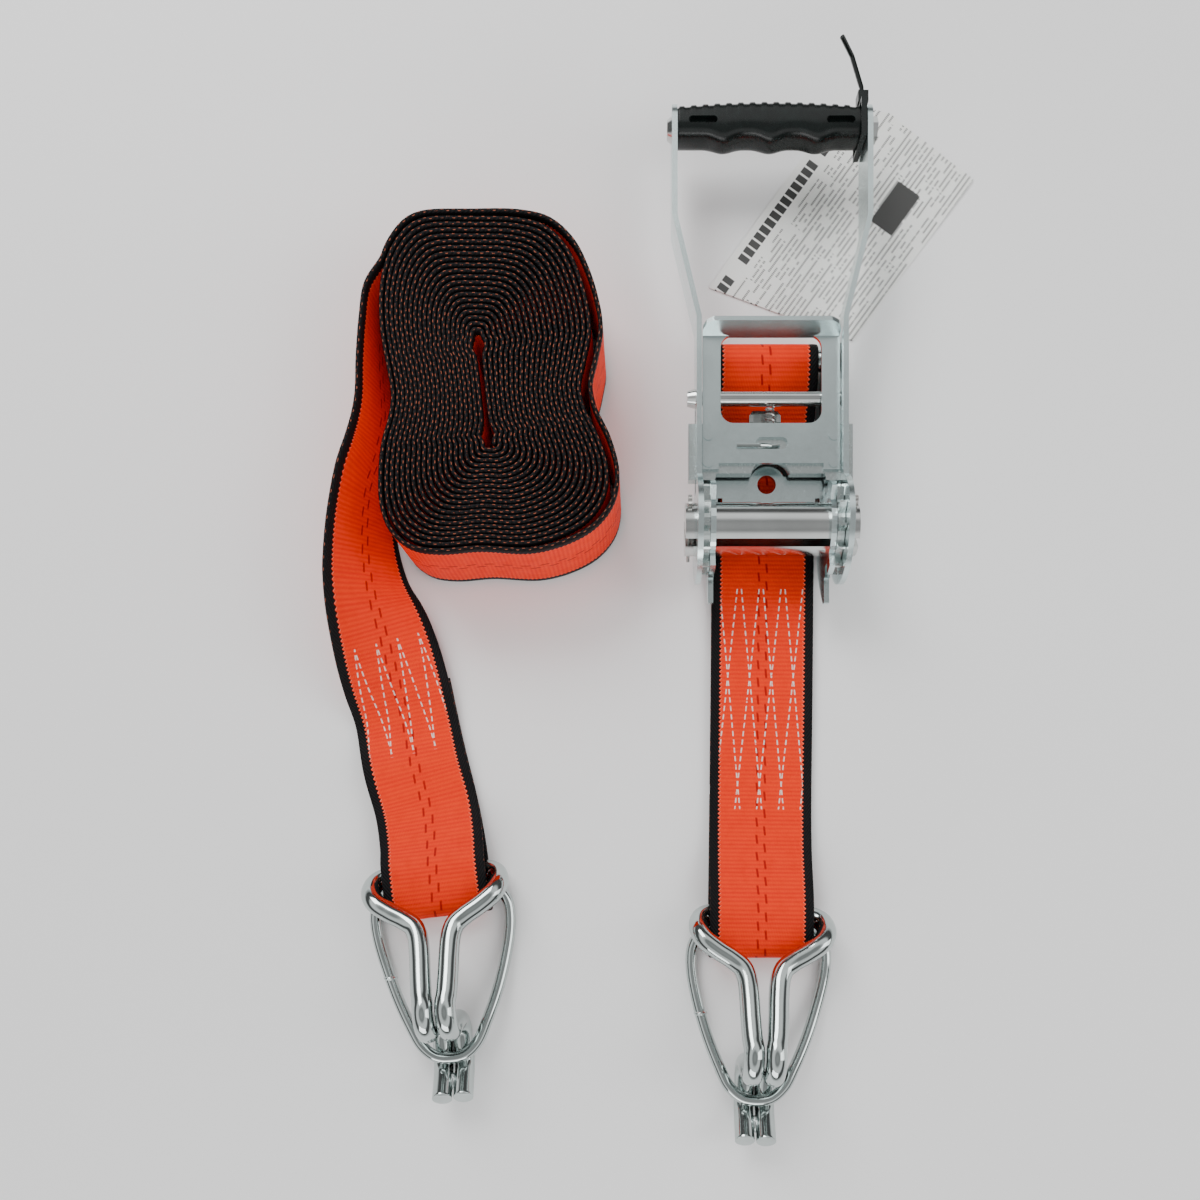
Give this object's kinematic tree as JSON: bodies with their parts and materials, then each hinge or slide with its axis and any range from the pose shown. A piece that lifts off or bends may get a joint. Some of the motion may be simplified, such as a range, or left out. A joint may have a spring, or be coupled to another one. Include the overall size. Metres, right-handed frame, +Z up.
{
  "type": "ratchet tie down",
  "caption": "Ratchet tie-down set: hand ratchet with a short webbing strap and wire hook, and a long rolled webbing strap with a second hook.",
  "frame": {"origin": "centre of the bounding box, on the floor the set lies on", "axes": "+Z up from the floor; +Y from the hooks towards the ratchet handle; +X from the rolled strap towards the ratchet"},
  "size_m": [0.3099, 0.5124, 0.051],
  "materials": {
    "zinc_plate": "bright zinc plated sheet",
    "bright_steel": "bright zinc plated wire and bar",
    "webbing": "woven polyester webbing, orange with black edges",
    "black_plastic": "glossy black moulded plastic",
    "card": "printed card"
  },
  "bodies": {
    "base": {"base_frame": "zinc_plate", "strap_bolt": "bright_steel", "strap_bolt_nut": "bright_steel", "spring_stop": "bright_steel", "fixed_strap": "webbing", "lock_pawl_spring": "bright_steel"},
    "lock_pawl": {"lock_pawl": "zinc_plate"},
    "handle": {"handle_plate_left": "zinc_plate", "handle_plate_right": "zinc_plate", "handle_grip": "black_plastic", "grip_bolt": "bright_steel", "grip_nut": "bright_steel", "handle_cross_rod": "bright_steel", "zip_tie": "black_plastic", "drive_pawl_spring": "bright_steel"},
    "drive_pawl": {"drive_pawl": "zinc_plate", "release_lever": "zinc_plate", "lever_rivets": "zinc_plate", "spring_retainer": "bright_steel"},
    "mandrel": {"mandrel_half_front": "bright_steel", "mandrel_half_rear": "bright_steel", "ratchet_wheel_left": "zinc_plate", "ratchet_wheel_right": "zinc_plate", "split_pin_left": "bright_steel", "split_pin_right": "bright_steel"},
    "hook_short": {"hook_short": "bright_steel"},
    "keeper_short": {"keeper_short": "bright_steel"},
    "long_strap": {"strap_hank": "webbing", "strap_tail": "webbing"},
    "hook_long": {"hook_long": "bright_steel"},
    "keeper_long": {"keeper_long": "bright_steel"},
    "tag": {"tag_card": "card"}
  },
  "joints": [
    {"name": "handle_swing", "type": "hinge", "parent": "base", "child": "handle", "pos_m": [0.051, 0.0382, 0.026], "axis": [1, 0, 0], "range_deg": [0, 170]},
    {"name": "drive_pawl_slide", "type": "slide", "parent": "handle", "child": "drive_pawl", "axis": [0, 1, 0], "range_m": [-0.005, 0.007], "deforming": ["drive_pawl_spring"]},
    {"name": "lock_pawl_slide", "type": "slide", "parent": "base", "child": "lock_pawl", "axis": [0, 1, 0], "range_m": [0, 0.005], "deforming": ["lock_pawl_spring"]},
    {"name": "mandrel_spin", "type": "hinge", "parent": "base", "child": "mandrel", "pos_m": [0.051, 0.0382, 0.026], "axis": [1, 0, 0], "continuous": true},
    {"name": "hook_short_swing", "type": "hinge", "parent": "base", "child": "hook_short", "pos_m": [0.049, -0.1439, 0.008], "axis": [-0.9994, 0.0349, 0], "range_deg": [0, 15]},
    {"name": "keeper_short_swing", "type": "hinge", "parent": "hook_short", "child": "keeper_short", "pos_m": [0.04869, -0.15279, 0.0076], "axis": [-0.9994, 0.0349, 0], "range_deg": [0, 15]},
    {"name": "strap_lift", "type": "slide", "parent": "base", "child": "long_strap", "axis": [0, 0, 1], "range_m": [0, 0.3]},
    {"name": "hook_long_swing", "type": "hinge", "parent": "long_strap", "child": "hook_long", "pos_m": [-0.1088, -0.1236, 0.008], "axis": [-0.9962, -0.0872, 0], "range_deg": [0, 15]},
    {"name": "keeper_long_swing", "type": "hinge", "parent": "hook_long", "child": "keeper_long", "pos_m": [-0.10802, -0.13247, 0.0076], "axis": [-0.9962, -0.0872, 0], "range_deg": [0, 15]},
    {"name": "tag_swing", "type": "hinge", "parent": "handle", "child": "tag", "pos_m": [0.0922, 0.2322, 0.001], "axis": [0, 0, 1], "range_deg": [-20, 20]}
  ]
}
